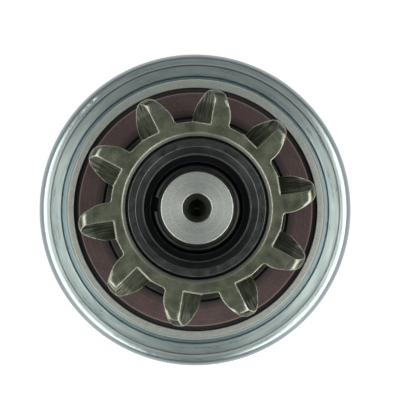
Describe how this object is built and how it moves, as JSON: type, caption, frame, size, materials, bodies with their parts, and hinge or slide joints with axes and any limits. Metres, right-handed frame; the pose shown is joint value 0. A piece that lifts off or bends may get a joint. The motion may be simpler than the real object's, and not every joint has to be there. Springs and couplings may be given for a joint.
{
  "type": "starter drive",
  "caption": "Sliding starter drive: toothed pinion on a splined shaft, sealed ball bearing, and roller one-way clutch with driven gear.",
  "frame": {"origin": "on the axis, at the rear bearing's rear face, which it stands on", "axes": "+Z along the shaft towards the pinion's nose; a tooth gap of the pinion lies on +X"},
  "size_m": [0.051, 0.051, 0.092],
  "materials": {
    "pinion_steel": "machined and heat-treated, satin, olive grey",
    "shaft_steel": "turned, satin",
    "spring_steel": "drawn wire, satin",
    "black_steel": "blackened, satin",
    "race_steel": "ground",
    "gear_steel": "machined and heat-treated, satin",
    "zinc_plate": "zinc plated, clear blue passivation, satin",
    "bearing_steel": "ground",
    "ball_steel": "polished",
    "cage_steel": "pressed strip",
    "shield_steel": "pressed strip, satin",
    "seal_rubber": "moulded, dark maroon",
    "bush_bronze": "sintered"
  },
  "bodies": {
    "clutch_drum": {"clutch_gear": "gear_steel", "clutch_cover": "zinc_plate", "cover_washer": "race_steel", "gear_bush": "bush_bronze", "roller_springs": "spring_steel"},
    "inner_race": {"clutch_inner": "race_steel", "front_bearing_inner_ring": "bearing_steel", "rear_bearing_inner_ring": "bearing_steel", "return_spring": "spring_steel", "spring_retainer": "race_steel", "retainer_clip": "spring_steel"},
    "spring_slider": {"return_spring_washer": "race_steel"},
    "shaft": {"clutch_shaft": "shaft_steel", "spring_seat": "shaft_steel", "stop_collar": "black_steel", "snap_ring": "spring_steel", "buffer_spring": "spring_steel"},
    "pinion": {"pinion": "pinion_steel"},
    "front_ring": {"front_bearing_outer_ring": "bearing_steel", "front_bearing_seal_front": "seal_rubber", "front_bearing_seal_rear": "seal_rubber"},
    "front_cage": {"front_bearing_cage": "cage_steel", "front_bearing_balls": "ball_steel"},
    "rear_ring": {"rear_bearing_outer_ring": "bearing_steel", "rear_bearing_shields": "shield_steel"},
    "rear_cage": {"rear_bearing_cage": "cage_steel", "rear_bearing_balls": "ball_steel"},
    "roller_1": {"clutch_roller_1": "ball_steel"},
    "roller_2": {"clutch_roller_2": "ball_steel"},
    "roller_3": {"clutch_roller_3": "ball_steel"},
    "roller_4": {"clutch_roller_4": "ball_steel"},
    "roller_5": {"clutch_roller_5": "ball_steel"}
  },
  "joints": [
    {"name": "overrun", "type": "hinge", "parent": "clutch_drum", "child": "inner_race", "pos_m": [0, 0, 0.0375], "axis": [0, 0, 1], "continuous": true},
    {"name": "shaft_advance", "type": "slide", "parent": "inner_race", "child": "spring_slider", "axis": [0, 0, 1], "range_m": [0, 0.018], "stiffness_N_per_m": 1500, "springref_m": -0.012, "deforming": ["return_spring"]},
    {"name": "shaft_twist", "type": "hinge", "parent": "spring_slider", "child": "shaft", "pos_m": [0, 0, 0.02], "axis": [0, 0, 1], "range_deg": [0, 46.3]},
    {"name": "pinion_cushion", "type": "slide", "parent": "shaft", "child": "pinion", "axis": [0, 0, 1], "range_m": [-0.0025, 0], "stiffness_N_per_m": 4000, "springref_m": 0.002, "deforming": ["buffer_spring"]},
    {"name": "front_ring_spin", "type": "hinge", "parent": "inner_race", "child": "front_ring", "pos_m": [0, 0, 0.0545], "axis": [0, 0, 1], "continuous": true},
    {"name": "front_cage_spin", "type": "hinge", "parent": "inner_race", "child": "front_cage", "pos_m": [0, 0, 0.0545], "axis": [0, 0, 1], "continuous": true},
    {"name": "rear_ring_spin", "type": "hinge", "parent": "inner_race", "child": "rear_ring", "pos_m": [0, 0, 0.0045], "axis": [0, 0, 1], "continuous": true},
    {"name": "rear_cage_spin", "type": "hinge", "parent": "inner_race", "child": "rear_cage", "pos_m": [0, 0, 0.0045], "axis": [0, 0, 1], "continuous": true},
    {"name": "roller_1_spin", "type": "hinge", "parent": "clutch_drum", "child": "roller_1", "pos_m": [0.01855, 0, 0.0375], "axis": [0, 0, 1], "continuous": true},
    {"name": "roller_2_spin", "type": "hinge", "parent": "clutch_drum", "child": "roller_2", "pos_m": [0.00573, 0.01764, 0.0375], "axis": [0, 0, 1], "continuous": true},
    {"name": "roller_3_spin", "type": "hinge", "parent": "clutch_drum", "child": "roller_3", "pos_m": [-0.01501, 0.0109, 0.0375], "axis": [0, 0, 1], "continuous": true},
    {"name": "roller_4_spin", "type": "hinge", "parent": "clutch_drum", "child": "roller_4", "pos_m": [-0.01501, -0.0109, 0.0375], "axis": [0, 0, 1], "continuous": true},
    {"name": "roller_5_spin", "type": "hinge", "parent": "clutch_drum", "child": "roller_5", "pos_m": [0.00573, -0.01764, 0.0375], "axis": [0, 0, 1], "continuous": true}
  ],
  "couplings": [
    {"joint": "shaft_twist", "follows": "shaft_advance", "rad_per_m": 44.88},
    {"joint": "front_cage_spin", "follows": "front_ring_spin", "ratio": 0.57044},
    {"joint": "rear_cage_spin", "follows": "rear_ring_spin", "ratio": 0.58267},
    {"joint": "roller_1_spin", "follows": "overrun", "ratio": -4.2857},
    {"joint": "roller_2_spin", "follows": "overrun", "ratio": -4.2857},
    {"joint": "roller_3_spin", "follows": "overrun", "ratio": -4.2857},
    {"joint": "roller_4_spin", "follows": "overrun", "ratio": -4.2857},
    {"joint": "roller_5_spin", "follows": "overrun", "ratio": -4.2857}
  ]
}
